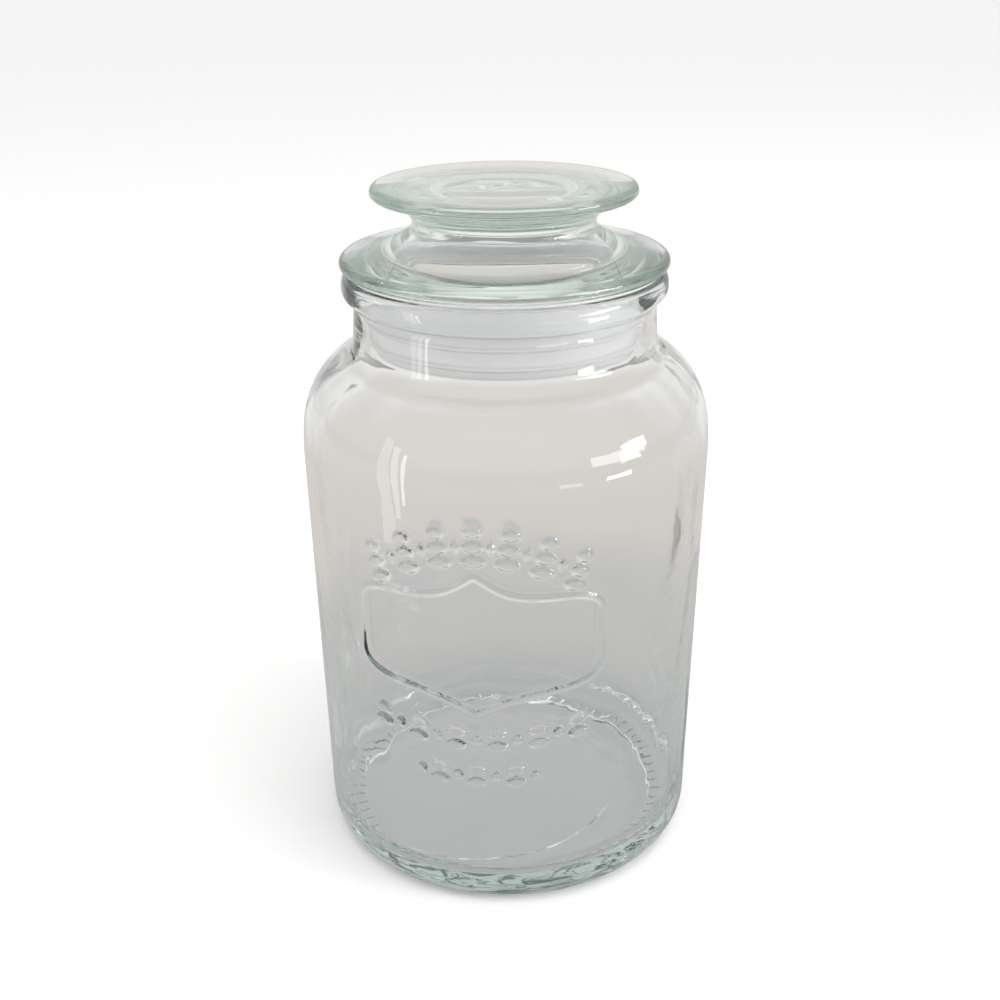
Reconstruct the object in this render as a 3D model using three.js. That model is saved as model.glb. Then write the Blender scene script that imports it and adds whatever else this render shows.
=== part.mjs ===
// Apothecary jar: a round glass jar, its loose glass lid, and the soft plastic ring that seals them.
// Millimetres, +Z up. The origin is the middle of the base, on the surface that the jar stands on.
// Each piece is a solid of revolution about the Z axis, drawn as a half outline of (radius, height).
import * as THREE from 'three';

const FACETS = 40; // flats round the axis
const CURVE_STEPS = 4; // straight steps along each curved stretch of an outline
const GAP = 0.3; // clearance between neighbouring pieces

// The jar: foot, heel, tapering body, round shoulder, short neck and rolled lip.
const FOOT_RADIUS = 64.6;
const FOOT_WIDTH = 3.6; // the flat ring that bears on the table
const PUSH_UP = 1.6; // how far the middle of the underside is raised
const HEEL_RADIUS = 73.4;
const HEEL_HEIGHT = 9;
const BODY_RADIUS = 75;
const SHOULDER_HEIGHT = 156.6; // where the body is widest
const SHOULDER_RISE = 24; // how far the shoulder's curve starts straight up
const NECK_HEIGHT = 196.2; // the crease between shoulder and neck
const NECK_RADIUS = 54.8;
const CREASE_RUN = 11; // direction in which the shoulder meets the neck
const CREASE_DROP = 5.3;
const FLARE_HEIGHT = 214.5; // where the neck starts to flare into the lip
const FLARE_TIP = 219.6; // height that the flare aims for
const LIP_RADIUS = 58;
const LIP_TOP = 223.6;
const LIP_ROUND = 1.6;
const BORE_RADIUS = 50.8; // inside of the neck
const BORE_BOTTOM = 195.2; // where the neck opens into the body
const WALL = 3.2; // glass thickness of the body
const FLOOR_HEIGHT = 8; // inside floor
const FLOOR_CROWN = 1; // how much higher the floor is in its middle
const FLOOR_ROUND = 9; // inside radius between floor and wall

// The sealing ring: a thin sleeve round the lid's plug, with a rim on the jar's lip and soft fins.
const RIM_THICKNESS = 1;
const RIM_RADIUS = 55.5;
const SLEEVE_WALL = 1.6;
const SLEEVE_BOTTOM = 198.5;
const FIN_REACH = 2.1; // how far a fin stands out of the sleeve
const FIN_THICKNESS = 1.2;
const FIN_HEIGHTS = [201, 207.5, 214];
const BEAD_HEIGHT = 210; // inner bead that snaps into the plug's groove
const BEAD_DEPTH = 1.1;
const BEAD_HALF_WIDTH = 1.4;

// The lid: a solid disc knob on a hollow waisted bell, a rounded flange and a plug that enters the neck.
const LID_SEAT = LIP_TOP + GAP + RIM_THICKNESS + GAP; // underside of the flange
const FLANGE_RADIUS = 58.2;
const FLANGE_THICKNESS = 4.9;
const BELL_RUN = 13; // out from the waist and up from the flange, the point that the bell's slope aims for
const BELL_RISE = 4;
const WAIST_RADIUS = 32;
const WAIST_HEIGHT = 241.5;
const WAIST_TUCK = 1; // how far in from its radius the waist's round aims
const WAIST_FOOT = [1.5, -2.5]; // where the waist's round starts, out from the waist and up from its middle
const WAIST_HEAD = [2.5, 2.3]; // where it ends
const KNOB_RADIUS = 46.5;
const KNOB_THICKNESS = 4.7;
const LID_TOP = 253.7;
const PLUG_RADIUS = 46.2;
const PLUG_BOTTOM = 203;
const PLUG_WALL = 4.4;
const PLUG_CHAMFER = 1;
const HOLLOW_WAIST = 26.5; // inside radius at the waist
const HOLLOW_TOP = 247;
const HOLLOW_RUN = 3; // how the hollow widens below the waist: out, and down
const HOLLOW_DROP = 5;
const HOLLOW_MOUTH_INSET = 2; // where the hollow's slope ends, in from the plug and up from the flange
const HOLLOW_MOUTH_RISE = 5;

const glass = { color: 0xb9c4bd, roughness: 0.05, metalness: 0, transparent: true, opacity: 0.45 };
const plastic = { color: 0xdfe5e6, roughness: 0.45, metalness: 0, transparent: true, opacity: 0.7 };

function revolve(name, outline, finish) {
  const geometry = new THREE.LatheGeometry(outline.getPoints(CURVE_STEPS), FACETS);
  geometry.rotateX(Math.PI / 2);
  const mesh = new THREE.Mesh(geometry, new THREE.MeshStandardMaterial(finish));
  mesh.name = name;
  return mesh;
}

function jarBody() {
  const innerRadius = BODY_RADIUS - WALL;
  const innerFoot = HEEL_RADIUS - WALL;
  const outline = new THREE.Path();
  outline.moveTo(0, PUSH_UP);
  outline.quadraticCurveTo(FOOT_RADIUS / 2, PUSH_UP, FOOT_RADIUS - FOOT_WIDTH, 0);
  outline.lineTo(FOOT_RADIUS, 0);
  outline.quadraticCurveTo(HEEL_RADIUS, 0, HEEL_RADIUS, HEEL_HEIGHT);
  outline.lineTo(BODY_RADIUS, SHOULDER_HEIGHT);
  outline.bezierCurveTo(
    BODY_RADIUS, SHOULDER_HEIGHT + SHOULDER_RISE,
    NECK_RADIUS + CREASE_RUN, NECK_HEIGHT - CREASE_DROP,
    NECK_RADIUS, NECK_HEIGHT);
  outline.lineTo(NECK_RADIUS, FLARE_HEIGHT);
  outline.quadraticCurveTo(NECK_RADIUS, FLARE_TIP, LIP_RADIUS, LIP_TOP - LIP_ROUND);
  outline.quadraticCurveTo(LIP_RADIUS, LIP_TOP, LIP_RADIUS - LIP_ROUND, LIP_TOP);
  outline.lineTo(BORE_RADIUS + LIP_ROUND, LIP_TOP);
  outline.quadraticCurveTo(BORE_RADIUS, LIP_TOP, BORE_RADIUS, LIP_TOP - LIP_ROUND);
  outline.lineTo(BORE_RADIUS, BORE_BOTTOM);
  outline.bezierCurveTo(
    BORE_RADIUS + CREASE_RUN, BORE_BOTTOM - CREASE_DROP,
    innerRadius, SHOULDER_HEIGHT + SHOULDER_RISE,
    innerRadius, SHOULDER_HEIGHT);
  outline.lineTo(innerFoot, FLOOR_HEIGHT + FLOOR_ROUND);
  outline.quadraticCurveTo(innerFoot, FLOOR_HEIGHT, innerFoot - FLOOR_ROUND, FLOOR_HEIGHT);
  outline.lineTo(0, FLOOR_HEIGHT + FLOOR_CROWN);
  return revolve('jar_body', outline, glass);
}

function sealRing() {
  const inside = PLUG_RADIUS + GAP;
  const outside = inside + SLEEVE_WALL;
  const rimBottom = LIP_TOP + GAP;
  const rimTop = rimBottom + RIM_THICKNESS;
  const outline = new THREE.Path();
  outline.moveTo(inside, SLEEVE_BOTTOM);
  outline.lineTo(outside, SLEEVE_BOTTOM);
  for (const height of FIN_HEIGHTS) {
    outline.lineTo(outside, height);
    outline.lineTo(outside + FIN_REACH, height + FIN_THICKNESS);
    outline.lineTo(outside, height + 2 * FIN_THICKNESS);
  }
  outline.lineTo(outside, rimBottom);
  outline.lineTo(RIM_RADIUS, rimBottom);
  outline.lineTo(RIM_RADIUS, rimTop);
  outline.lineTo(inside, rimTop);
  outline.lineTo(inside, BEAD_HEIGHT + BEAD_HALF_WIDTH);
  outline.lineTo(inside - BEAD_DEPTH, BEAD_HEIGHT);
  outline.lineTo(inside, BEAD_HEIGHT - BEAD_HALF_WIDTH);
  outline.lineTo(inside, SLEEVE_BOTTOM);
  return revolve('seal_ring', outline, plastic);
}

function lid() {
  const plugInside = PLUG_RADIUS - PLUG_WALL;
  const flangeTop = LID_SEAT + FLANGE_THICKNESS;
  const flangeMiddle = LID_SEAT + FLANGE_THICKNESS / 2;
  const flangeRound = FLANGE_THICKNESS / 2;
  const knobBottom = LID_TOP - KNOB_THICKNESS;
  const knobMiddle = LID_TOP - KNOB_THICKNESS / 2;
  const knobRound = KNOB_THICKNESS / 2;
  const grooveHalfWidth = BEAD_HALF_WIDTH + GAP;
  const outline = new THREE.Path();
  outline.moveTo(0, HOLLOW_TOP);
  outline.quadraticCurveTo(HOLLOW_WAIST, HOLLOW_TOP, HOLLOW_WAIST, WAIST_HEIGHT);
  outline.quadraticCurveTo(
    HOLLOW_WAIST + HOLLOW_RUN, WAIST_HEIGHT - HOLLOW_DROP,
    plugInside - HOLLOW_MOUTH_INSET, LID_SEAT + HOLLOW_MOUTH_RISE);
  outline.lineTo(plugInside, LID_SEAT);
  outline.lineTo(plugInside, PLUG_BOTTOM + PLUG_CHAMFER);
  outline.lineTo(plugInside + PLUG_CHAMFER, PLUG_BOTTOM);
  outline.lineTo(PLUG_RADIUS - PLUG_CHAMFER, PLUG_BOTTOM);
  outline.lineTo(PLUG_RADIUS, PLUG_BOTTOM + PLUG_CHAMFER);
  outline.lineTo(PLUG_RADIUS, BEAD_HEIGHT - grooveHalfWidth);
  outline.lineTo(PLUG_RADIUS - BEAD_DEPTH, BEAD_HEIGHT);
  outline.lineTo(PLUG_RADIUS, BEAD_HEIGHT + grooveHalfWidth);
  outline.lineTo(PLUG_RADIUS, LID_SEAT);
  outline.lineTo(FLANGE_RADIUS - flangeRound, LID_SEAT);
  outline.quadraticCurveTo(FLANGE_RADIUS, LID_SEAT, FLANGE_RADIUS, flangeMiddle);
  outline.quadraticCurveTo(FLANGE_RADIUS, flangeTop, FLANGE_RADIUS - flangeRound, flangeTop);
  outline.quadraticCurveTo(
    WAIST_RADIUS + BELL_RUN, flangeTop + BELL_RISE,
    WAIST_RADIUS + WAIST_FOOT[0], WAIST_HEIGHT + WAIST_FOOT[1]);
  outline.quadraticCurveTo(
    WAIST_RADIUS - WAIST_TUCK, WAIST_HEIGHT,
    WAIST_RADIUS + WAIST_HEAD[0], WAIST_HEIGHT + WAIST_HEAD[1]);
  outline.lineTo(KNOB_RADIUS - knobRound, knobBottom);
  outline.quadraticCurveTo(KNOB_RADIUS, knobBottom, KNOB_RADIUS, knobMiddle);
  outline.quadraticCurveTo(KNOB_RADIUS, LID_TOP, KNOB_RADIUS - knobRound, LID_TOP);
  outline.lineTo(0, LID_TOP);
  return revolve('lid', outline, glass);
}

const jar = new THREE.Group();
jar.add(jarBody(), sealRing(), lid());

export default jar;
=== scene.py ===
import math
import random

import bpy
import numpy as np
from mathutils import Matrix, Vector


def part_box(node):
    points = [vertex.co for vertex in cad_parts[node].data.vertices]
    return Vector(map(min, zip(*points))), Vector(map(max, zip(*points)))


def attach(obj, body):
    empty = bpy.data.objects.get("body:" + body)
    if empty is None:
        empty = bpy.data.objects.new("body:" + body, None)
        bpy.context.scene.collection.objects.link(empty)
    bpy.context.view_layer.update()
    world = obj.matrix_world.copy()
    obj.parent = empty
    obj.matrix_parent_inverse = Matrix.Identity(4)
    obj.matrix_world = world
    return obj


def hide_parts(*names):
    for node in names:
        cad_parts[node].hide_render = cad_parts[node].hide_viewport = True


# Apothecary jar in clear pressed glass, with a glass lid and a milky plastic sealing ring.
# Outlines are half sections of (radius, height) in millimetres. Meshes are made in metres.
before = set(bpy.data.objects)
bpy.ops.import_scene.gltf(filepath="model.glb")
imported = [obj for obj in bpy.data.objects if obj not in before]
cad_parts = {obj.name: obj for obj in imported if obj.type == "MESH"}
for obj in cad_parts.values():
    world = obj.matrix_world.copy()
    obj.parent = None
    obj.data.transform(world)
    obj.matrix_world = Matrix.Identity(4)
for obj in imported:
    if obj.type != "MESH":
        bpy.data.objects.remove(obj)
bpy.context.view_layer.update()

MM = 0.001
GAP = 0.3  # clearance between neighbouring pieces, mm
CORNER_ROUNDNESS = 0.55  # makes a square corner close to a quarter of a circle


def box_mm(node):
    low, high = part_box(node)
    return [c / MM for c in low], [c / MM for c in high]


# ---------------------------------------------------------------- driving dimensions, from the frame
_, jar_high = box_mm("jar_body")
lid_low, lid_high = box_mm("lid")
seal_low, seal_high = box_mm("seal_ring")

BODY_RADIUS = jar_high[0]
LIP_TOP = jar_high[2]
FLANGE_RADIUS = lid_high[0]
LID_TOP = lid_high[2]
PLUG_BOTTOM = lid_low[2]
SLEEVE_BOTTOM = seal_low[2]
RIM_TOP = seal_high[2]
RIM_RADIUS = seal_high[0]

# ---------------------------------------------------------------- the rest of the jar, mm
FOOT_INNER = 61.0  # the flat ring that the jar stands on
FOOT_OUTER = 64.6
PUSH_UP = 1.6  # how far the middle of the underside is raised
UNDER_HANDLES = ((28, PUSH_UP), (46, PUSH_UP - 0.5))  # the underside's curve, out to the bearing ring
UNDER_EDGE_HEIGHT = 0.7
HEEL_RADIUS = 73.4
HEEL_HEIGHT = 9.0
SHOULDER_HEIGHT = 156.6
NECK_HEIGHT = 196.2
NECK_RADIUS = 54.8
NECK_ROUND = 3.6  # size of the round between shoulder and neck
NECK_HANDLES = ((54.7, 203), (54.1, 208))  # the neck narrows a little on its way up
NECK_TOP = (54.0, 212.0)
FLARE_HANDLES = ((54.0, 214.2), (54.9, 214.9))  # then flares out under the lip
FLARE_END = (56.4, 215.8)
LIP_RADIUS = 58.0
LIP_MIDDLE = 219.6
LIP_LOWER_HANDLES = ((57.4, 216.4), (LIP_RADIUS, 217.6))
LIP_UPPER_HANDLES = ((LIP_RADIUS, 221.6), (57.2, LIP_TOP))
LIP_FLAT = 55.6  # the lip's top is flat from here inwards
LIP_INNER_ROUND = 1.8
BORE_RADIUS = 50.8
BORE_ROUND = 7.2  # how far in the inner shoulder gives way to its round with the bore
BORE_END_RISE = 4.2  # how far above the neck's crease the round ends
BORE_TIP_DROP = 2.6  # and how far below the crease the corner that it rounds off lies
INNER_SHOULDER_DROP = 1.5  # how far the inner shoulder's low and high ends lie below the outer ones
INNER_NECK_DROP = 2.8
INNER_WALL_DROP = 4.0
WALL = 3.2
FLOOR_HEIGHT = 8.0  # inside floor
FLOOR_ROUND = 10.0  # how high the round between floor and wall reaches
FLOOR_CROWN = 0.8  # how much higher the floor is in its middle

# The glass settled unevenly while it cooled, so the flat of the inside floor is a circle off the axis.
FLAT_RADIUS = 55.5
FLAT_OFFSET = 11.6
FLAT_DIRECTION = math.radians(-85)  # towards the left, counted from the front
CREASE_WIDTH = 0.8  # the fine ridge round the flat
CREASE_RIDGE = 0.6
CREASE_AT_SIDES = 0.4  # share of the ridge's height left at the sides; it dies out towards the back
CREASE_ANGLE = math.radians(9)  # slope at which the round between floor and wall meets the flat
ROUND_END = math.radians(13)  # where its points give way to the ridge's

KNURLS = 72
KNURL_HEIGHT = 0.3
KNURL_INNER = 60.2
KNURL_OUTER = 67.6
KNURL_EDGE = 0.8  # over which the knurls fade in and out
RING_HANDLES = ((KNURL_INNER, 0.65), (KNURL_INNER, 0))  # the curve down to the bearing ring

# ---------------------------------------------------------------- columns of the jar's mesh
COARSE_COLUMNS = 144
LABEL_SPLIT = 7  # fine columns in each coarse one, across the label
KNURL_SPLIT = 6  # columns in each coarse one, on the bearing ring
LABEL_MIDDLE = math.radians(-8.8)  # to the left of the front
LABEL_HALF_SECTOR = math.radians(37)
LABEL_RADIUS = 74.2
LABEL_LOW = 51.5
LABEL_HIGH = 160.5
RELIEF_STEP = 0.5  # between rows of vertices, across the relief
PLAIN_STEP = 2.5  # between rows where only the sides of the frame run
PLAIN_LOW = 105.5
PLAIN_HIGH = 120.5
SHARP = math.radians(70)  # edges of the glass bent more than this keep their crispness


def share_of(value, start, end):
    """How far a value has come from start to end, from 0 to 1."""
    return np.clip((value - start) / (end - start), 0, 1)


def straight(a, b, step):
    """Points from a towards b, without b."""
    count = max(1, math.ceil(math.dist(a, b) / step))
    return [(a[0] + (b[0] - a[0]) * i / count, a[1] + (b[1] - a[1]) * i / count) for i in range(count)]


def curve(a, handle_a, handle_b, b, count):
    """Points along a cubic curve from a towards b, without b."""
    points = []
    for i in range(count):
        t = i / count
        s = 1 - t
        weights = (s**3, 3 * s * s * t, 3 * s * t * t, t**3)
        corners = (a, handle_a, handle_b, b)
        points.append(tuple(sum(w * c[k] for w, c in zip(weights, corners)) for k in (0, 1)))
    return points


def corner(a, tip, b, count):
    """Points along a round corner from a towards b, without b, that leaves a and reaches b towards tip."""
    handles = [
        (p[0] + (tip[0] - p[0]) * CORNER_ROUNDNESS, p[1] + (tip[1] - p[1]) * CORNER_ROUNDNESS)
        for p in (a, b)
    ]
    return curve(a, handles[0], handles[1], b, count)


class Outline:
    """Points of an outline, drawn stretch by stretch. Each stretch starts where the one before it ended."""

    def __init__(self, start):
        self.end = start
        self.points = []

    def line(self, end, step):
        self.points += straight(self.end, end, step)
        self.end = end
        return self

    def curve(self, handle_a, handle_b, end, count):
        self.points += curve(self.end, handle_a, handle_b, end, count)
        self.end = end
        return self

    def corner(self, tip, end, count):
        self.points += corner(self.end, tip, end, count)
        self.end = end
        return self


def waves(seed, count, longest, shortest):
    """A smooth random ripple round a surface, as a function of angle (radians) and height (mm)."""
    rng = random.Random(seed)
    terms = []
    for _ in range(count):
        around = rng.randint(1, int(2 * math.pi * BODY_RADIUS / shortest))
        along = rng.uniform(-1, 1) * 2 * math.pi / longest
        terms.append((around, along, rng.uniform(0, 2 * math.pi), 1 / (1 + around * 0.25)))
    total = math.sqrt(sum(t[3] ** 2 for t in terms) / 2)

    def ripple(angle, height):
        value = 0
        for around, along, phase, weight in terms:
            value = value + weight * np.sin(around * angle + along * height + phase)
        return value / total

    return ripple


# ---------------------------------------------------------------- raised work on the glass
# The flat pattern's axes are mm round the body from the label's middle, and mm up from the base.
LABEL_LEAN = 0.017  # how much higher the label stands for each mm to the right
FRAME_HALF_WIDTH = 1.4
FRAME_SIDE = 0.95  # how wide each of its sides is, on the flat pattern
FRAME_HEIGHT = 1.8  # of its lower edges
FRAME_EASE = 0.57  # how much lower the frame is above them
FRAME_EASE_FROM = 97.0
FRAME_EASE_TO = 110.0
FRAME_EASE_LEFT = 0.45  # how much lower still it is at its left end, which is seen at a slant
FRAME_LEFT_FROM = 34.0
FRAME_LEFT_WIDTH = 8.0
MOTIF_HEIGHT = 1.55
MOTIF_SLOPE = 1.1  # how wide the sides of raised ornament are
DIAMOND_SLOPE = 0.8
MOTIF_TURN = 0.6  # how far motifs turn to follow their arch; 1 is all the way
RELIEF_LEAN_LOW = 0.30  # how far raised work leans up for each mm that it stands out, low on the jar
RELIEF_LEAN_HIGH = 0.08  # and high on it
LEAN_FROM = 98.0
LEAN_TO = 135.0
LEAF_GAP = 0.3  # between the leaves of a spray
LEAF_TAPER = 0.14  # how much narrower each leaf is than the one below it


def label_outline():
    """The label's frame, from the peak down to the tip, then its mirror image."""
    half = curve((0, 139.2), (3.2, 138.0), (7.5, 132.6), (16.5, 131.3), 16)
    half += curve((16.5, 131.3), (24, 130.2), (31, 130.8), (35.5, 129.9), 14)
    half += curve((35.5, 129.9), (41, 128.8), (44.4, 126.6), (44.4, 121.5), 12)
    half += curve((44.4, 121.5), (44.4, 115), (44.4, 110), (44.4, 104.2), 10)
    half += curve((44.4, 104.2), (44.4, 97.4), (38.6, 95.4), (28.5, 94.3), 16)
    half += curve((28.5, 94.3), (18, 93.1), (9, 91.0), (0, 85.4), 20)
    half.append((0, 85.4))
    mirror = [(-x, y) for x, y in reversed(half[1:-1])]
    return np.array(half + mirror)


def distance_to_loop(x, y, loop):
    """The distance from each point to a closed line through the loop's corners."""
    best = np.full(x.shape, np.inf)
    for (ax, ay), (bx, by) in zip(loop, np.roll(loop, -1, axis=0)):
        dx, dy = bx - ax, by - ay
        t = np.clip(((x - ax) * dx + (y - ay) * dy) / (dx * dx + dy * dy), 0, 1)
        best = np.minimum(best, np.hypot(x - ax - t * dx, y - ay - t * dy))
    return best


def ridge(distance, half_width, side):
    """A flat-topped ridge, 1 at its middle and 0 from half_width outwards."""
    return np.clip((half_width - distance) / side, 0, 1)


def cushion(inside, slope=MOTIF_SLOPE):
    """A raised pad, from a signed distance that is positive inside it, with even sides as wide as slope."""
    return np.clip(inside / slope, 0, 1)


def leaf(x, y, height, width):
    """A raised leaf that lies on its side."""
    radius = (height**2 + width**2) / (4 * height)
    return cushion(radius - np.hypot(x, np.abs(y) + radius - height / 2))


def spray(x, y, height, width, count):
    """Leaves one above the other, each a little narrower than the one below it."""
    pitch = height / count
    relief = np.zeros(x.shape)
    for i in range(count):
        middle = (i - (count - 1) / 2) * pitch
        leaf_width = width * (1 - LEAF_TAPER * i)
        relief = np.maximum(relief, leaf(x, y - middle, pitch - LEAF_GAP, leaf_width))
    return relief


def tall_spray(x, y, height, width):
    return spray(x, y, height, width, 3)


def short_spray(x, y, height, width):
    return spray(x, y, height, width, 2)


def diamond(x, y, height, width):
    """A small solid lozenge."""
    a, b = width / 2, height / 2
    return cushion((a * b - b * np.abs(x) - a * np.abs(y)) / math.hypot(a, b), DIAMOND_SLOPE)


def bead(x, y, height, width):
    """A solid oval bead."""
    a, b = width / 2, height / 2
    return cushion((1 - np.hypot(x / a, y / b)) * min(a, b))


def row_of(x, y, motifs, middle_height, sag, spacing):
    """Motifs side by side along a shallow arch, turned to follow it."""
    relief = np.zeros(x.shape)
    for i, (motif, tall, wide) in enumerate(motifs):
        cx = (i - (len(motifs) - 1) / 2) * spacing
        cy = middle_height - sag * cx * cx
        turn = math.atan(2 * sag * cx) * MOTIF_TURN
        u = (x - cx) * math.cos(turn) - (y - cy) * math.sin(turn)
        v = (x - cx) * math.sin(turn) + (y - cy) * math.cos(turn)
        relief = np.maximum(relief, motif(u, v, tall, wide))
    return relief


def alternate(first, second, count):
    return [first if i % 2 == 0 else second for i in range(count)]


# Rows of ornament: the motifs, each with its height and width, then the row's height in its middle,
# how much it arches and the distance between motifs.
UPPER_ROW = (alternate((tall_spray, 16.0, 9.4), (diamond, 5.6, 3.8), 13), 150.4, 0.0088, 5.9)
LOWER_ROW = (alternate((short_spray, 10.6, 8.8), (bead, 4.8, 4.4), 11), 74.6, -0.0024, 7.2)
FOOT_ROW = (alternate((bead, 4.8, 4.4), (short_spray, 10.2, 8.4), 7), 59.2, 0, 6.9)


def relief_height(x, y):
    """How far the glass stands out at a place on the flat pattern, in mm."""
    y = y - LABEL_LEAN * x
    eased = 1 - FRAME_EASE * share_of(y, FRAME_EASE_FROM, FRAME_EASE_TO)
    eased = eased * (1 - FRAME_EASE_LEFT * np.clip((-x - FRAME_LEFT_FROM) / FRAME_LEFT_WIDTH, 0, 1))
    from_line = distance_to_loop(x, y, label_outline())
    frame_line = FRAME_HEIGHT * eased * ridge(from_line, FRAME_HALF_WIDTH, FRAME_SIDE)
    ornament = [row_of(x, y, *row) for row in (UPPER_ROW, LOWER_ROW, FOOT_ROW)]
    return frame_line + MOTIF_HEIGHT * np.maximum.reduce(ornament)


# ---------------------------------------------------------------- surfaces of revolution
def round_angle(angle):
    """The same angle, within half a turn of the front."""
    return (angle + math.pi) % (2 * math.pi) - math.pi


def column_angles(kind):
    """The angles of a ring's vertices, counted from the front (-Y) towards +X."""
    coarse = 2 * math.pi / COARSE_COLUMNS
    angles = []
    for i in range(COARSE_COLUMNS):
        start = i * coarse
        on_label = abs(round_angle(start + coarse / 2 - LABEL_MIDDLE)) < LABEL_HALF_SECTOR
        split = {"coarse": 1, "knurl": KNURL_SPLIT, "label": LABEL_SPLIT if on_label else 1}[kind]
        angles += [start + coarse * j / split for j in range(split)]
    return np.array(angles)


def strip(first_a, count_a, angles_a, first_b, count_b, angles_b):
    """Faces between two rings of vertices, a below b on an outer wall."""
    if count_a == count_b:
        return [
            (first_a + i, first_a + (i + 1) % count_a, first_b + (i + 1) % count_a, first_b + i)
            for i in range(count_a)
        ]
    faces = []
    end_a = list(angles_a) + [2 * math.pi]
    end_b = list(angles_b) + [2 * math.pi]
    i = j = 0
    while i < count_a or j < count_b:
        step_b = i == count_a or (j < count_b and end_b[j + 1] <= end_a[i + 1] + 1e-9)
        a, b = first_a + i % count_a, first_b + j % count_b
        if step_b:
            faces.append((a, first_b + (j + 1) % count_b, b))
            j += 1
        else:
            faces.append((a, first_a + (i + 1) % count_a, b))
            i += 1
    return faces


def revolve(name, rows, shape=None):
    """A closed body of revolution, from the axis back to it or round a loop.

    Each row is (radius, height, columns, region). shape(radii, heights, angles, region) may move a ring's
    points: it gives their radii and heights."""
    vertices, faces, rings = [], [], []
    for radius, height, columns, region in rows:
        if radius < 1e-6:
            rings.append((len(vertices), 1, None))
            vertices.append((0, 0, height * MM))
            continue
        angles = column_angles(columns)
        radii, heights = np.full(angles.shape, radius), np.full(angles.shape, height)
        if shape:
            radii, heights = shape(radii, heights, angles, region)
        rings.append((len(vertices), len(angles), angles))
        points = np.stack([radii * np.sin(angles), -radii * np.cos(angles), heights], -1) * MM
        vertices += [tuple(p) for p in points]
    looped = rows[0][0] > 1e-6
    pairs = list(zip(rings, rings[1:] + rings[:1])) if looped else list(zip(rings, rings[1:]))
    for (a, count_a, angles_a), (b, count_b, angles_b) in pairs:
        if count_a == 1:
            faces += [(a, b + (j + 1) % count_b, b + j) for j in range(count_b)]
        elif count_b == 1:
            faces += [(a + i, a + (i + 1) % count_a, b) for i in range(count_a)]
        else:
            faces += strip(a, count_a, angles_a, b, count_b, angles_b)
    mesh = bpy.data.meshes.new(name)
    mesh.from_pydata(vertices, [], faces)
    mesh.validate()
    mesh.shade_smooth()
    mesh.set_sharp_from_angle(angle=SHARP)
    obj = bpy.data.objects.new(name, mesh)
    bpy.context.scene.collection.objects.link(obj)
    return obj


def rows_of(points, columns, region):
    return [(r, z, columns, region) for r, z in points]


# ---------------------------------------------------------------- the jar
SHOULDER_ACROSS = 1.5  # powers that set how full the shoulder is, across and up
SHOULDER_UP = 0.68


def shoulder_point(t, radius, low, high, neck):
    """A point on the shoulder, from its widest (t = 0) to the neck's crease (t = 1)."""
    angle = t * math.pi / 2
    across = math.cos(angle) ** SHOULDER_ACROSS
    up = math.sin(angle) ** SHOULDER_UP
    return (neck + (radius - neck) * across, low + (high - low) * up)


def heel_point(angle):
    """A point on the outer heel, from the bearing ring (0) to the wall (a right angle)."""
    return (
        FOOT_OUTER + (HEEL_RADIUS - FOOT_OUTER) * math.sin(angle),
        HEEL_HEIGHT * (1 - math.cos(angle)),
    )


def inside_heel_point(angle, wall):
    """A point on the round between the wall (a right angle) and the flat of the floor."""
    across = (math.sin(angle) - math.sin(CREASE_ANGLE)) / (1 - math.sin(CREASE_ANGLE))
    up = (math.cos(CREASE_ANGLE) - math.cos(angle)) / math.cos(CREASE_ANGLE)
    return (FLAT_RADIUS + (wall - FLAT_RADIUS) * across, FLOOR_HEIGHT + FLOOR_ROUND * up)


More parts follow.
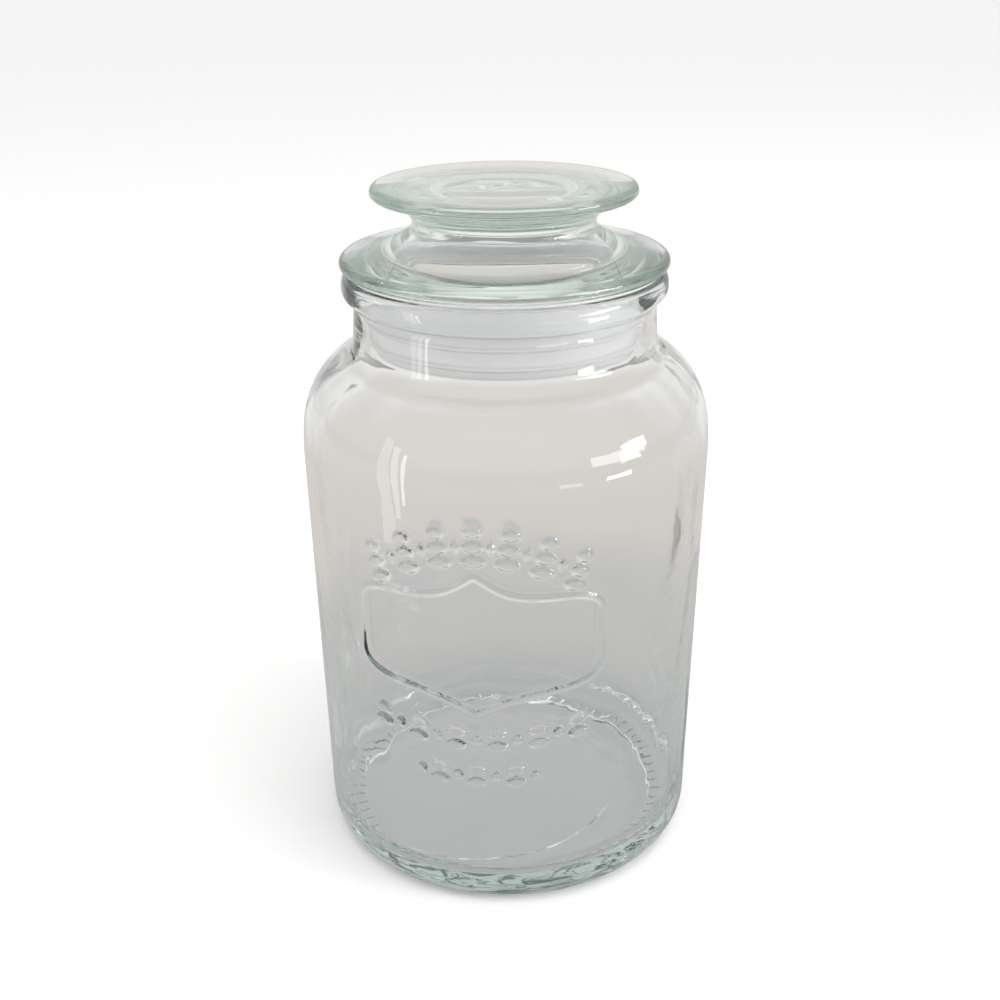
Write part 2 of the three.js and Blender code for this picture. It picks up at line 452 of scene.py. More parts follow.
def jar_rows():
    """The jar's outline: from the middle of the underside, up the outside, over the lip and down inside."""
    inner_radius = BODY_RADIUS - WALL
    inner_heel = HEEL_RADIUS - WALL
    slope = (BODY_RADIUS - HEEL_RADIUS) / (SHOULDER_HEIGHT - HEEL_HEIGHT)

    def wall_at(z):
        return (HEEL_RADIUS + slope * (z - HEEL_HEIGHT), z)

    under = Outline((0, PUSH_UP)).curve(*UNDER_HANDLES, (KNURL_INNER - 1, UNDER_EDGE_HEIGHT), 9)
    ring = Outline(under.end).curve(*RING_HANDLES, (FOOT_INNER, 0), 4)
    ring.line((FOOT_OUTER, 0), 1.2)
    heel = [heel_point(a) for a in np.linspace(0, math.pi / 2, 16)[:-1]]
    ring.points += [p for p in heel if p[0] < KNURL_OUTER + 1]
    heel = [p for p in heel if p[0] >= KNURL_OUTER + 1]
    lower = Outline((HEEL_RADIUS, HEEL_HEIGHT)).line(wall_at(LABEL_LOW), 6)
    label = Outline(lower.end).line(wall_at(PLAIN_LOW), RELIEF_STEP).line(wall_at(PLAIN_HIGH), PLAIN_STEP)
    label.line((BODY_RADIUS, SHOULDER_HEIGHT), RELIEF_STEP)
    shoulder = [
        shoulder_point(t, BODY_RADIUS, SHOULDER_HEIGHT, NECK_HEIGHT, NECK_RADIUS)
        for t in np.linspace(0, 1, 32) ** 1.3
    ]
    shoulder = [p for p in shoulder if p[0] > NECK_RADIUS + NECK_ROUND]
    crease = Outline(shoulder.pop())
    crease.corner((NECK_RADIUS, NECK_HEIGHT), (NECK_RADIUS, NECK_HEIGHT + NECK_ROUND), 9)
    shoulder += crease.points
    label.points += [p for p in shoulder if p[1] < LABEL_HIGH]
    shoulder = [p for p in shoulder if p[1] >= LABEL_HIGH]
    neck = Outline(crease.end).curve(*NECK_HANDLES, NECK_TOP, 7).curve(*FLARE_HANDLES, FLARE_END, 8)
    lip = Outline(FLARE_END).curve(*LIP_LOWER_HANDLES, (LIP_RADIUS, LIP_MIDDLE), 7)
    lip.curve(*LIP_UPPER_HANDLES, (LIP_FLAT, LIP_TOP), 8)
    lip.line((BORE_RADIUS + LIP_INNER_ROUND, LIP_TOP), 1.2)
    lip.corner((BORE_RADIUS, LIP_TOP), (BORE_RADIUS, LIP_TOP - LIP_INNER_ROUND), 5)
    bore = Outline(lip.end).line((BORE_RADIUS, NECK_HEIGHT + BORE_END_RISE), 5)
    inner_low = SHOULDER_HEIGHT - INNER_SHOULDER_DROP
    inner_high = NECK_HEIGHT - INNER_NECK_DROP
    inner_shoulder = [
        shoulder_point(t, inner_radius, inner_low, inner_high, BORE_RADIUS)
        for t in 1 - np.linspace(0, 1, 26) ** 0.8
    ]
    inner_shoulder = [p for p in inner_shoulder if p[0] > BORE_RADIUS + BORE_ROUND]
    inner = Outline(bore.end).corner((BORE_RADIUS, NECK_HEIGHT - BORE_TIP_DROP), inner_shoulder[0], 10)
    inner.points += inner_shoulder
    inner.end = (inner_radius, SHOULDER_HEIGHT - INNER_WALL_DROP)
    inner.line((inner_heel, FLOOR_HEIGHT + FLOOR_ROUND), 7)
    round_angles = np.linspace(math.pi / 2, ROUND_END, 15)
    inner.points += [inside_heel_point(a, inner_heel) for a in round_angles]
    for across in (1, 0.5, 0, -0.5, -1):
        ridge_up = CREASE_RIDGE * (1 - abs(across))
        inner.points.append((FLAT_RADIUS + CREASE_WIDTH * across, FLOOR_HEIGHT + ridge_up))
    inner.end = (FLAT_RADIUS - 2 * CREASE_WIDTH, FLOOR_HEIGHT)
    inner.line((0, FLOOR_HEIGHT + FLOOR_CROWN), 6)
    inner.points.append(inner.end)
    rows = rows_of(under.points, "coarse", "under")
    rows += rows_of(ring.points, "knurl", "ring")
    rows += rows_of(heel + lower.points, "coarse", "outer")
    rows += rows_of(label.points, "label", "label")
    rows += rows_of(shoulder, "coarse", "outer")
    rows += rows_of(neck.points + lip.points + bore.points, "coarse", "plain")
    rows += rows_of(inner.points, "coarse", "inner")
    return rows


OUTER_RIPPLE = 0.035
OUTER_RIPPLE_SHIFT = 1.5  # keeps the outer waves inside the wall's plain outline
OUTER_FADE_LOW = 20  # how far from the heel, and from the neck, the outer waves reach their full height
OUTER_FADE_HIGH = 25
INNER_RIPPLE = 0.09
INNER_FADE = 15
outer_waves = waves(11, 14, 90, 26)
inner_waves = waves(23, 18, 60, 22)


def settled(radii, angles):
    """Moves the inside floor's circles off the axis, so that its flat lies where the glass settled."""
    wall = HEEL_RADIUS - WALL
    away = angles - FLAT_DIRECTION
    flat = FLAT_OFFSET * np.cos(away) + np.sqrt(FLAT_RADIUS**2 - (FLAT_OFFSET * np.sin(away)) ** 2)
    on_flat = radii * flat / FLAT_RADIUS
    beyond = radii - FLAT_RADIUS
    room = wall - FLAT_RADIUS - CREASE_WIDTH
    on_round = flat + CREASE_WIDTH + (beyond - CREASE_WIDTH) / room * (wall - flat - CREASE_WIDTH)
    return np.where(beyond < 0, on_flat, np.where(beyond < CREASE_WIDTH, flat + beyond, on_round))


def jar_shape(radii, heights, angles, region):
    """Adds the raised work, the knurls, the off-centre floor and the soft waves of both walls."""
    if region in ("label", "outer"):
        from_heel = np.clip((heights - HEEL_HEIGHT) / OUTER_FADE_LOW, 0, 1)
        from_neck = np.clip((NECK_HEIGHT - heights) / OUTER_FADE_HIGH, 0, 1)
        ripple = outer_waves(angles, heights) - OUTER_RIPPLE_SHIFT
        radii = radii + OUTER_RIPPLE * ripple * from_heel * from_neck
    if region == "label":
        relief = relief_height(round_angle(angles - LABEL_MIDDLE) * LABEL_RADIUS, heights)
        up = share_of(heights, LEAN_FROM, LEAN_TO)
        radii = radii + relief
        heights = heights + relief * (RELIEF_LEAN_LOW + (RELIEF_LEAN_HIGH - RELIEF_LEAN_LOW) * up)
    if region == "inner":
        low = FLOOR_HEIGHT + FLOOR_ROUND
        from_neck = np.clip((NECK_HEIGHT - heights) / INNER_FADE, 0, 1)
        fade = from_neck * np.clip((heights - low) / INNER_FADE, 0, 1)
        if heights[0] < low + 1e-6:
            if abs(radii[0] - FLAT_RADIUS) < CREASE_WIDTH:
                share = np.clip(CREASE_AT_SIDES + np.cos(angles), 0, 1)
                heights = FLOOR_HEIGHT + (heights - FLOOR_HEIGHT) * share
            radii = settled(radii, angles)
        radii = radii + INNER_RIPPLE * inner_waves(angles, heights) * fade
    if region == "ring":
        rib = np.clip(np.cos(KNURLS * angles), 0, 1) ** 3
        edge_in = np.clip((radii - KNURL_INNER) / KNURL_EDGE, 0, 1)
        edge_out = np.clip((KNURL_OUTER - radii) / KNURL_EDGE, 0, 1)
        heights = heights + KNURL_HEIGHT * (1 - rib) * edge_in * edge_out
    return radii, heights


# ---------------------------------------------------------------- the lid
PLUG_RADIUS = 46.2
PLUG_INSIDE = 41.8
PLUG_ROUND = 1.6  # rounds at the plug's foot, outside and inside
PLUG_INNER_ROUND = 1.8
SEAT_ROUND = 0.8  # fillet between plug and flange
FLANGE_THICKNESS = 4.9
FLANGE_LOWER_ROUND = 2.4
FLANGE_UPPER_ROUND = 3.0
BELL_FOOT = (49, 1.2)  # handle of the bell's slope near the flange: its radius, and its height above it
BELL_HEAD = (37.5, 234.4)  # and its handle near the waist
BELL_TOP = 239.0
WAIST_RADIUS = 32.0
WAIST_FOOT = 0.9  # how much wider than its waist the lid is at the two ends of the waist's curve
WAIST_HEAD = 1.2
WAIST_HANDLES = ((WAIST_RADIUS, 240.3), (WAIST_RADIUS, 242.1))
WAIST_TOP = 243.4
NECK_TO_KNOB_HANDLES = ((WAIST_RADIUS + 3, 246.2), (39.5, 248))
KNOB_RADIUS = 46.5
KNOB_THICKNESS = 4.7
KNOB_LOWER_ROUND = 2.6
KNOB_TUCK = 0.2  # makes the lower round a little tighter
KNOB_UPPER_ROUND = 2.4
HOLLOW_RADIUS = 26.5
HOLLOW_TOP = 247.0
HOLLOW_WAIST = 240.5
HOLLOW_DOME_HANDLES = ((14, HOLLOW_TOP), (HOLLOW_RADIUS - 0.5, HOLLOW_TOP))
HOLLOW_MOUTH_HANDLES = ((HOLLOW_RADIUS + 1, 235), (PLUG_INSIDE - 3, 232))
GROOVE_HEIGHT = 210.0
GROOVE_DEPTH = 1.1
GROOVE_HALF_WIDTH = 2.6
GROOVE_ROUND = 1.2  # handles of the groove's curve, at its mouth and at its bottom
GROOVE_FLAT = 1.0


def lid_rows():
    """The lid's outline: from the hollow's top, down inside, round the plug and up to the knob's middle."""
    seat = RIM_TOP + GAP
    top = seat + FLANGE_THICKNESS
    middle = seat + FLANGE_THICKNESS / 2
    knob_bottom = LID_TOP - KNOB_THICKNESS
    knob_middle = LID_TOP - KNOB_THICKNESS / 2
    groove = PLUG_RADIUS - GROOVE_DEPTH
    hollow = Outline((0, HOLLOW_TOP)).curve(*HOLLOW_DOME_HANDLES, (HOLLOW_RADIUS, HOLLOW_WAIST), 18)
    hollow.curve(*HOLLOW_MOUTH_HANDLES, (PLUG_INSIDE, seat + 1), 14)
    plug = Outline(hollow.end).line((PLUG_INSIDE, PLUG_BOTTOM + PLUG_ROUND), 3)
    plug.corner((PLUG_INSIDE, PLUG_BOTTOM), (PLUG_INSIDE + PLUG_INNER_ROUND, PLUG_BOTTOM), 5)
    plug.line((PLUG_RADIUS - PLUG_ROUND, PLUG_BOTTOM), 1.5)
    plug.corner((PLUG_RADIUS, PLUG_BOTTOM), (PLUG_RADIUS, PLUG_BOTTOM + PLUG_ROUND), 5)
    plug.line((PLUG_RADIUS, GROOVE_HEIGHT - GROOVE_HALF_WIDTH), 2)
    plug.curve(
        (PLUG_RADIUS, GROOVE_HEIGHT - GROOVE_ROUND), (groove, GROOVE_HEIGHT - GROOVE_FLAT),
        (groove, GROOVE_HEIGHT), 4)
    plug.curve(
        (groove, GROOVE_HEIGHT + GROOVE_FLAT), (PLUG_RADIUS, GROOVE_HEIGHT + GROOVE_ROUND),
        (PLUG_RADIUS, GROOVE_HEIGHT + GROOVE_HALF_WIDTH), 4)
    plug.line((PLUG_RADIUS, seat - SEAT_ROUND), 3)
    plug.corner((PLUG_RADIUS, seat), (PLUG_RADIUS + SEAT_ROUND, seat), 4)
    bell = Outline(plug.end).line((FLANGE_RADIUS - FLANGE_LOWER_ROUND, seat), 2)
    bell.corner((FLANGE_RADIUS, seat), (FLANGE_RADIUS, middle), 9)
    bell.corner((FLANGE_RADIUS, top), (FLANGE_RADIUS - FLANGE_UPPER_ROUND, top), 9)
    bell.curve((BELL_FOOT[0], top + BELL_FOOT[1]), BELL_HEAD, (WAIST_RADIUS + WAIST_FOOT, BELL_TOP), 22)
    bell.curve(*WAIST_HANDLES, (WAIST_RADIUS + WAIST_HEAD, WAIST_TOP), 10)
    bell.curve(*NECK_TO_KNOB_HANDLES, (KNOB_RADIUS - KNOB_LOWER_ROUND, knob_bottom), 10)
    knob = Outline(bell.end).corner((KNOB_RADIUS, knob_bottom + KNOB_TUCK), (KNOB_RADIUS, knob_middle), 8)
    knob.corner((KNOB_RADIUS, LID_TOP), (KNOB_RADIUS - KNOB_UPPER_ROUND, LID_TOP), 8)
    knob.line((0, LID_TOP), 3.5)
    knob.points.append(knob.end)
    rows = rows_of(hollow.points, "coarse", "hollow") + rows_of(plug.points, "coarse", "plain")
    return rows + rows_of(bell.points, "coarse", "bell") + rows_of(knob.points, "coarse", "knob")


BELL_RIPPLE = 0.08
KNOB_RIPPLE = 0.05
HOLLOW_RIPPLE = 0.12
HOLLOW_PHASE = 31  # takes the hollow's waves from another part of the pattern
BELL_RIM, BELL_FADE = 2, 6  # how wide the plain rim is, and the band over which the waves come in
KNOB_RIM, KNOB_FADE = 2.5, 10
HOLLOW_FADE = 12
KNOB_TOP_DEPTH = 0.5  # points less than this below the knob's top belong to the top
lid_waves = waves(5, 10, 40, 60)


def lid_shape(radii, heights, angles, region):
    """Adds the soft waves of the pressed lid, which leave its rims and its middle alone."""
    ripple = lid_waves(angles, radii)
    if region == "bell":
        inland = np.clip((FLANGE_RADIUS - BELL_RIM - radii) / BELL_FADE, 0, 1)
        heights = heights + BELL_RIPPLE * ripple * inland
    if region == "knob":
        on_top = heights > LID_TOP - KNOB_TOP_DEPTH
        inland = np.clip((KNOB_RADIUS - KNOB_RIM - radii) / KNOB_FADE, 0, 1)
        heights = heights - np.where(on_top, KNOB_RIPPLE * (1 + np.clip(ripple, -1, 1)) * inland, 0)
    if region == "hollow":
        ripple = lid_waves(angles, radii + HOLLOW_PHASE)
        heights = heights + HOLLOW_RIPPLE * ripple * np.clip(radii / HOLLOW_FADE, 0, 1)
    return radii, heights


# ---------------------------------------------------------------- the sealing ring
SLEEVE_INSIDE = PLUG_RADIUS + GAP
SLEEVE_OUTSIDE = 48.1
FIN_HEIGHTS = (201.0, 207.5, 214.0)
FIN_REACH = 2.1
FIN_TIP = 1.4  # height of a fin's tip, and of its upper root, above its lower root
FIN_ROOT = 2.4
FIN_LOWER_HANDLES = ((SLEEVE_OUTSIDE + 0.8, 0.1), (SLEEVE_OUTSIDE + FIN_REACH, 0.7))
FIN_UPPER_HANDLES = ((SLEEVE_OUTSIDE + FIN_REACH - 0.2, 2.0), (SLEEVE_OUTSIDE + 0.4, 1.7))
BEAD_REACH = 1.0  # of the inner bead that snaps into the plug's groove
BEAD_HALF_WIDTH = 1.6
BEAD_FLAT = 1.0
SEAL_ROUND = 0.5  # rounds of the sleeve and the rim
RIM_ROUND = 0.4


def raised(handles, height):
    """The same handles, higher up."""
    return [(r, z + height) for r, z in handles]


def seal_rows():
    """The ring's outline, once round: down its inside, up its outside past the fins, and round the rim."""
    rim_bottom = LIP_TOP + GAP
    bead = SLEEVE_INSIDE - BEAD_REACH
    bead_foot = (SLEEVE_INSIDE, GROOVE_HEIGHT - BEAD_HALF_WIDTH)
    ring = Outline((SLEEVE_INSIDE, RIM_TOP)).line((SLEEVE_INSIDE, GROOVE_HEIGHT + BEAD_HALF_WIDTH), 4)
    ring.corner((bead, GROOVE_HEIGHT + BEAD_FLAT), (bead, GROOVE_HEIGHT), 4)
    ring.corner((bead, GROOVE_HEIGHT - BEAD_FLAT), bead_foot, 4)
    ring.line((SLEEVE_INSIDE, SLEEVE_BOTTOM + SEAL_ROUND), 2)
    ring.corner((SLEEVE_INSIDE, SLEEVE_BOTTOM), (SLEEVE_INSIDE + SEAL_ROUND, SLEEVE_BOTTOM), 3)
    ring.line((SLEEVE_OUTSIDE - SEAL_ROUND, SLEEVE_BOTTOM), 1)
    ring.corner((SLEEVE_OUTSIDE, SLEEVE_BOTTOM), (SLEEVE_OUTSIDE, SLEEVE_BOTTOM + SEAL_ROUND), 3)
    for height in FIN_HEIGHTS:
        ring.points.append((SLEEVE_OUTSIDE, height - 0.2))
        ring.end = (SLEEVE_OUTSIDE, height)
        ring.curve(*raised(FIN_LOWER_HANDLES, height), (SLEEVE_OUTSIDE + FIN_REACH, height + FIN_TIP), 6)
        ring.curve(*raised(FIN_UPPER_HANDLES, height), (SLEEVE_OUTSIDE, height + FIN_ROOT), 6)
    ring.line((SLEEVE_OUTSIDE, rim_bottom - SEAL_ROUND), 2)
    ring.corner((SLEEVE_OUTSIDE, rim_bottom), (SLEEVE_OUTSIDE + SEAL_ROUND, rim_bottom), 3)
    ring.line((RIM_RADIUS - RIM_ROUND, rim_bottom), 2)
    ring.corner((RIM_RADIUS, rim_bottom), (RIM_RADIUS, rim_bottom + SEAL_ROUND), 3)
    ring.corner((RIM_RADIUS, RIM_TOP), (RIM_RADIUS - RIM_ROUND, RIM_TOP), 3)
    ring.line((SLEEVE_INSIDE, RIM_TOP), 2)
    return rows_of(ring.points, "coarse", "plain")


# ---------------------------------------------------------------- materials
GLASS_IOR = 1.52
SMUDGE_SCALE = 26  # scales of noise, per metre
SMUDGE_ROUGHNESS = 0.035  # where the glass is most smudged
WAVE_SCALE = 38
GRAIN_SCALE = 160
GRAIN_SHARE = 0.03  # depth of the fine grain as a share of the waves' depth
JAR_TINT = (0.44, 0.55, 0.515)  # the closer to 1, the less of that colour the glass absorbs
JAR_TINT_DENSITY = 8.5
JAR_WAVES = 0.0016  # metres
JAR_WAVE_STRETCH = (1, 1, 0.35)  # the jar's waves run up and down
LID_TINT = (0.30, 0.48, 0.38)
LID_TINT_DENSITY = 10.0
LID_WAVES = 0.0004
PLASTIC_IOR = 1.4


def new_material(name):
    """A material with a Principled shader that feeds its surface."""
    material = bpy.data.materials.new(name)
    material.use_nodes = True
    tree = material.node_tree
    tree.nodes.clear()
    output = tree.nodes.new("ShaderNodeOutputMaterial")
    shader = tree.nodes.new("ShaderNodeBsdfPrincipled")
    tree.links.new(shader.outputs["BSDF"], output.inputs["Surface"])
    return material, tree, shader, output


def noise(tree, scale, detail, stretch=(1, 1, 1)):
    """Object-space noise with a cell of about 1/scale metres, stretched along the axes."""
    place = tree.nodes.new("ShaderNodeTexCoord")
    mapping = tree.nodes.new("ShaderNodeMapping")
    mapping.inputs["Scale"].default_value = stretch
    texture = tree.nodes.new("ShaderNodeTexNoise")
    texture.inputs["Scale"].default_value = scale
    texture.inputs["Detail"].default_value = detail
    tree.links.new(place.outputs["Object"], mapping.inputs["Vector"])
    tree.links.new(mapping.outputs["Vector"], texture.inputs["Vector"])
    return texture.outputs["Fac"]


def spread(tree, value, low, high, start=0.35, end=0.65):
    """Maps a value from start..end onto low..high. Unless told otherwise it takes noise's usual range."""
    node = tree.nodes.new("ShaderNodeMapRange")
    node.inputs["From Min"].default_value = start
    node.inputs["From Max"].default_value = end
    node.inputs["To Min"].default_value = low
    node.inputs["To Max"].default_value = high
    tree.links.new(value, node.inputs["Value"])
    return node.outputs["Result"]


def bump(tree, height, distance, normal=None):
    node = tree.nodes.new("ShaderNodeBump")
    node.inputs["Strength"].default_value = 1.0
    node.inputs["Distance"].default_value = distance
    tree.links.new(height, node.inputs["Height"])
    if normal:
        tree.links.new(normal, node.inputs["Normal"])
    return node.outputs["Normal"]


def glass(name, absorption, density, stretch, wave_depth):
    """Clear soda-lime glass: a grey-green tint that grows with depth, and soft waves from the pressing."""
    material, tree, shader, output = new_material(name)
    shader.inputs["Base Color"].default_value = (1, 1, 1, 1)
    shader.inputs["IOR"].default_value = GLASS_IOR
    shader.inputs["Transmission Weight"].default_value = 1.0
    smudges = spread(tree, noise(tree, SMUDGE_SCALE, 4), 0.0, SMUDGE_ROUGHNESS)
    tree.links.new(smudges, shader.inputs["Roughness"])
    soft = bump(tree, noise(tree, WAVE_SCALE, 1, stretch), wave_depth)
    fine = bump(tree, noise(tree, GRAIN_SCALE, 1), wave_depth * GRAIN_SHARE, soft)
    tree.links.new(fine, shader.inputs["Normal"])
    volume = tree.nodes.new("ShaderNodeVolumeAbsorption")
    volume.inputs["Color"].default_value = (*absorption, 1)
    volume.inputs["Density"].default_value = density
    tree.links.new(volume.outputs["Volume"], output.inputs["Volume"])
    return material


def seal_plastic():
    """Milky polyethylene that lets a little of what is behind it through."""
    material, tree, shader, _ = new_material("milky_polyethylene")
    shader.inputs["Base Color"].default_value = (0.965, 0.975, 0.98, 1)
    shader.inputs["IOR"].default_value = PLASTIC_IOR
    shader.inputs["Transmission Weight"].default_value = 0.25
    shader.inputs["Alpha"].default_value = 0.75
    tree.links.new(spread(tree, noise(tree, 90, 3), 0.30, 0.42), shader.inputs["Roughness"])
    tree.links.new(bump(tree, noise(tree, 400, 2), 0.00005), shader.inputs["Normal"])
    return material


FLOOR_REACH = 2.4  # metres
# What the glass shows of the floor, as painted light and shade that the floor gives off itself, with
# painted shade near the jar: distance from the jar's axis, in metres, and colour.
FLOOR_PAINTED_TONES = [
    (0.07, (0.42, 0.43, 0.425)),
    (0.13, (0.53, 0.535, 0.525)),
    (0.20, (0.54, 0.54, 0.53)),
    (0.27, (0.67, 0.63, 0.60)),
    (0.50, (0.68, 0.65, 0.62)),
    (0.90, (0.84, 0.835, 0.82)),
    (1.65, (0.88, 0.88, 0.87)),
]
FLOOR_PAINTED_SHADE_FROM = 1.30  # beyond this the floor behind the jar, seen through the glass, glows with painted shade that stands for a dim room
FLOOR_PAINTED_SHADE_AT = 1.50
# painted shade, given off by the floor behind the jar to rays through the glass
PAINTED_ROOM_SHADE = (0.28, 0.28, 0.28, 1)
BEHIND = (0.84, 0.94)  # how far a direction points to the back where the dark starts, and where it is full


def colour_ramp(tree, value, stops):
    """Colours along a value from 0 to 1."""
    ramp = tree.nodes.new("ShaderNodeValToRGB")
    while len(ramp.color_ramp.elements) < len(stops):
        ramp.color_ramp.elements.new(0.5)
    for element, (position, colour) in zip(ramp.color_ramp.elements, stops):
        element.position = position
        element.color = (*colour, 1)
    tree.links.new(value, ramp.inputs["Fac"])
    return ramp.outputs["Color"]


def product(tree, first, second):
    """The product of two values."""
    node = tree.nodes.new("ShaderNodeMath")
    node.operation = "MULTIPLY"
    tree.links.new(first, node.inputs[0])
    tree.links.new(second, node.inputs[1])
    return node.outputs["Value"]


def blend(tree, share, first, second):
    """A mix of two colours. Each is a socket or a plain colour."""
    node = tree.nodes.new("ShaderNodeMix")
    node.data_type = "RGBA"
    tree.links.new(share, node.inputs["Factor"])
    for name, colour in (("A", first), ("B", second)):
        if isinstance(colour, tuple):
            node.inputs[name].default_value = colour
        else:
            tree.links.new(colour, node.inputs[name])
    return node.outputs["Result"]


def floor_material():
    """A pale matt floor. Seen through or in the glass it is not lit but glows with even painted light,
    without shadows, in tones that go by distance: painted shade near the jar, lighter further off.
    """
    material, tree, shader, output = new_material("pale_floor")
    shader.inputs["Base Color"].default_value = (0.84, 0.84, 0.84, 1)
    shader.inputs["Roughness"].default_value = 0.7
    place = tree.nodes.new("ShaderNodeTexCoord")
    length = tree.nodes.new("ShaderNodeVectorMath")
    length.operation = "LENGTH"
    tree.links.new(place.outputs["Object"], length.inputs[0])
    distance = length.outputs["Value"]
    direction = tree.nodes.new("ShaderNodeVectorMath")
    direction.operation = "NORMALIZE"
    tree.links.new(place.outputs["Object"], direction.inputs[0])
    split = tree.nodes.new("ShaderNodeSeparateXYZ")
    tree.links.new(direction.outputs["Vector"], split.inputs["Vector"])
    path = tree.nodes.new("ShaderNodeLightPath")
    # where the painted shade of a dim room lies: far behind the jar, and for rays through the glass only
    far = spread(tree, distance, 0, 1, FLOOR_PAINTED_SHADE_FROM, FLOOR_PAINTED_SHADE_AT)
    painted_shade_share = product(tree, spread(tree, split.outputs["Y"], 0, 1, *BEHIND), far)
    painted_shade_share = product(tree, painted_shade_share, path.outputs["Is Transmission Ray"])
    stops = [(reach / FLOOR_REACH, colour) for reach, colour in FLOOR_PAINTED_TONES]
    painted_tones = colour_ramp(tree, spread(tree, distance, 0, 1, 0, FLOOR_REACH), stops)
    # a glow that paints light and shade onto the floor for every ray but the camera's
    painted_glow = tree.nodes.new("ShaderNodeEmission")
    tree.links.new(blend(tree, painted_shade_share, painted_tones, PAINTED_ROOM_SHADE), painted_glow.inputs["Color"])
    mix = tree.nodes.new("ShaderNodeMixShader")
    tree.links.new(path.outputs["Is Camera Ray"], mix.inputs["Fac"])  # the camera sees it plain and pale
    tree.links.new(painted_glow.outputs["Emission"], mix.inputs[1])
    tree.links.new(shader.outputs["BSDF"], mix.inputs[2])
    tree.links.new(mix.outputs["Shader"], output.inputs["Surface"])
    return material


# ---------------------------------------------------------------- pieces
jar = revolve("jar_glass_body", jar_rows(), jar_shape)
jar.data.materials.append(glass("jar_glass", JAR_TINT, JAR_TINT_DENSITY, JAR_WAVE_STRETCH, JAR_WAVES))
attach(jar, "jar")
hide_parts("jar_body")

lid = revolve("glass_lid", lid_rows(), lid_shape)
lid.data.materials.append(glass("lid_glass", LID_TINT, LID_TINT_DENSITY, (1, 1, 1), LID_WAVES))
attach(lid, "lid")
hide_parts("lid")

seal = revolve("plastic_seal_ring", seal_rows())
seal.data.materials.append(seal_plastic())
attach(seal, "seal")
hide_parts("seal_ring")


# ---------------------------------------------------------------- stage, light and camera
FLOOR_HALF_SIZE = 12.0


def make_floor():
    signs = ((-1, -1), (1, -1), (1, 1), (-1, 1))
    corners = [(x * FLOOR_HALF_SIZE, y * FLOOR_HALF_SIZE, 0) for x, y in signs]
    mesh = bpy.data.meshes.new("floor")
    mesh.from_pydata(corners, [], [(0, 1, 2, 3)])
    floor = bpy.data.objects.new("floor", mesh)
    floor.data.materials.append(floor_material())
    bpy.context.scene.collection.objects.link(floor)
    return floor


def area_light(name, azimuth, elevation, distance, size, power, colour=(1, 1, 1), seen="both", target=0.12):
    """A soft box that faces the jar. Azimuth is counted from the front towards +X.

    seen says what it does: "lit" lights matt surfaces, "mirrored" shows only in gloss, "both" does both."""
    a, e = math.radians(azimuth), math.radians(elevation)
    middle = Vector((0, 0, target))
    place = middle + Vector((math.sin(a) * math.cos(e), -math.cos(a) * math.cos(e), math.sin(e))) * distance
    light = bpy.data.lights.new(name, "AREA")
    light.shape = "RECTANGLE"
    light.size, light.size_y = size
    light.energy = power
    light.color = colour
    obj = bpy.data.objects.new(name, light)
    obj.location = place
    obj.rotation_euler = (middle - place).to_track_quat("-Z", "Y").to_euler()
    obj.visible_camera = False
    obj.visible_glossy = seen != "lit"
    obj.visible_transmission = seen == "both"
    obj.visible_diffuse = seen != "mirrored"
    bpy.context.scene.collection.objects.link(obj)
    return obj


NECK_MIDDLE = 0.21  # metres up


def seal_light(azimuth, power):
    """Light that reaches the sealing ring through the clear neck, which would otherwise shade it."""
    name = f"seal_light_{azimuth}"
    light = area_light(name, azimuth, 12, 1.0, (0.8, 0.8), power, seen="lit", target=NECK_MIDDLE)
    lit = bpy.data.collections.new(f"lit_by_{name}")
    lit.objects.link(seal)
    light.light_linking.receiver_collection = lit
    light.light_linking.blocker_collection = lit


# What the glass shows of the room, by how far a direction points up: all round, and behind the jar.
SKY_TONES = [
    (0.000, (0.60, 0.60, 0.59)),
    (0.150, (0.92, 0.92, 0.91)),
    (1.000, (1.00, 1.00, 1.00)),
]
SKY_TONES_BEHIND = [
    (0.000, (0.28, 0.28, 0.28)),
    (0.160, (0.28, 0.28, 0.28)),
    (0.240, (0.92, 0.92, 0.91)),
    (1.000, (1.00, 1.00, 1.00)),
]
BACKDROP = (0.92, 0.92, 0.92, 1)  # what the camera sees
FRONT_STRENGTH = 1.3  # how much brighter the room is, up on the camera's side


def make_world():
    world = bpy.data.worlds.new("studio")
    world.use_nodes = True
    tree = world.node_tree
    tree.nodes.clear()
    output = tree.nodes.new("ShaderNodeOutputWorld")
    background = tree.nodes.new("ShaderNodeBackground")
    place = tree.nodes.new("ShaderNodeTexCoord")
    split = tree.nodes.new("ShaderNodeSeparateXYZ")
    path = tree.nodes.new("ShaderNodeLightPath")
    tree.links.new(place.outputs["Generated"], split.inputs["Vector"])
    to_the_back, up = split.outputs["Y"], split.outputs["Z"]
    behind = product(tree, spread(tree, to_the_back, 0, 1, *BEHIND), path.outputs["Is Transmission Ray"])
    sky = blend(tree, behind, colour_ramp(tree, up, SKY_TONES), colour_ramp(tree, up, SKY_TONES_BEHIND))
    tree.links.new(blend(tree, path.outputs["Is Camera Ray"], sky, BACKDROP), background.inputs["Color"])
    front = product(tree, spread(tree, to_the_back, 1, 0, -0.5, 0.2), spread(tree, up, 0, 1, 0.1, 0.35))
    tree.links.new(spread(tree, front, 1, FRONT_STRENGTH, 0, 1), background.inputs["Strength"])
    tree.links.new(background.outputs["Background"], output.inputs["Surface"])
    bpy.context.scene.world = world


CAMERA_PLACE = Vector((-0.00239, -0.429915, 0.329014))
CAMERA_PITCH = math.radians(24.4636)  # down from level
CAMERA_ROLL = math.radians(-0.5536)
CAMERA_LENS = 44.244  # mm, on a sensor 36 mm wide


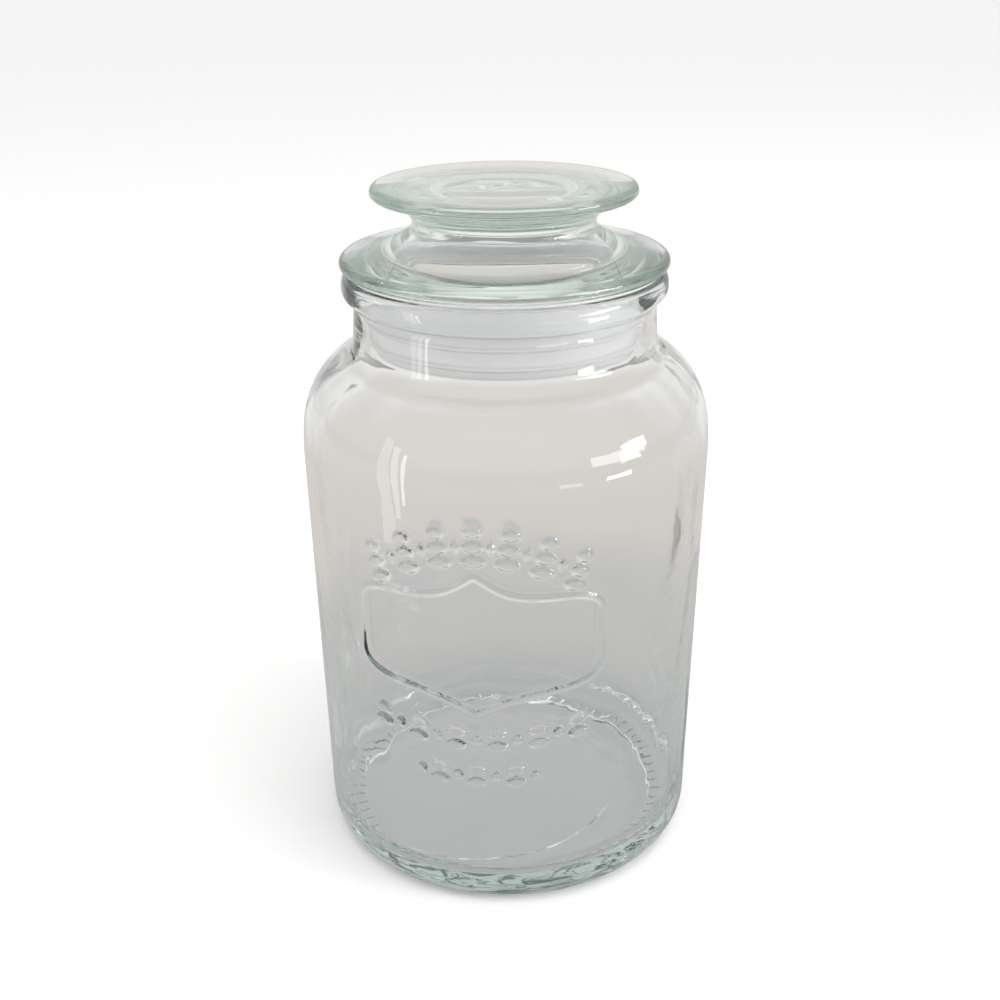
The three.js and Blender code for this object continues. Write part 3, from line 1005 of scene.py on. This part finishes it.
def make_camera():
    camera = bpy.data.cameras.new("camera")
    camera.sensor_width = 36.0
    camera.lens = CAMERA_LENS
    obj = bpy.data.objects.new("camera", camera)
    turn = Matrix.Rotation(math.pi / 2 - CAMERA_PITCH, 4, "X") @ Matrix.Rotation(CAMERA_ROLL, 4, "Z")
    obj.matrix_world = Matrix.Translation(CAMERA_PLACE) @ turn
    bpy.context.scene.collection.objects.link(obj)
    bpy.context.scene.camera = obj


floor = make_floor()
make_world()
make_camera()

COOL = (0.98, 0.99, 1.0)
WARM = (1.0, 0.99, 0.97)
key = area_light("key", 60, 35, 1.6, (0.9, 0.9), 4, COOL, seen="lit")
overhead = area_light("overhead", 20, 78, 1.5, (1.4, 1.4), 8, WARM, seen="lit")
all_but_seal = bpy.data.collections.new("all_but_seal")  # the seal has lights of its own
for obj in (floor, jar, lid):
    all_but_seal.objects.link(obj)
for light in (key, overhead):
    light.light_linking.receiver_collection = all_but_seal

# The window high on the right, in two panes over the slats of a blind.
WINDOW_DISTANCE = 1.6
area_light("window", 73, 14.0, WINDOW_DISTANCE, (0.55, 0.26), 6.0, COOL)
area_light("window_left", 56, 10, WINDOW_DISTANCE, (0.5, 0.26), 2.2, (1.0, 0.99, 0.98), seen="mirrored")
for slat in range(4):
    elevation = 10.4 - 1.3 * slat
    area_light(f"blind_{slat}", 71, elevation, WINDOW_DISTANCE, (0.55, 0.018), 0.3, seen="mirrored")

# The upright streak on the left, which breaks up towards the front.
STREAK_COLOUR = (0.97, 1.0, 1.0)
for strip_light in range(3):
    azimuth = -64 + 5.5 * strip_light
    size = (0.030 - 0.008 * strip_light, 0.29 - 0.05 * strip_light)
    name = f"left_strip_{strip_light}"
    area_light(name, azimuth, 0, 0.33, size, 0.045, STREAK_COLOUR, seen="mirrored", target=0.15)

# Small highlights on the neck.
area_light("neck_card", 56, -12, 0.4, (0.10, 0.016), 0.07, seen="mirrored", target=0.205)
area_light("neck_card_dim", 30, -12, 0.4, (0.10, 0.016), 0.015, seen="mirrored", target=0.205)
for azimuth, power in ((-75, 3.2), (0, 1.2), (75, 3.6)):
    seal_light(azimuth, power)

bpy.context.scene.view_settings.view_transform = "Standard"
cycles = bpy.context.scene.cycles  # light is reflected many times inside thick glass
cycles.max_bounces = 40
cycles.glossy_bounces = 32
cycles.transmission_bounces = 32
cycles.transparent_max_bounces = 24
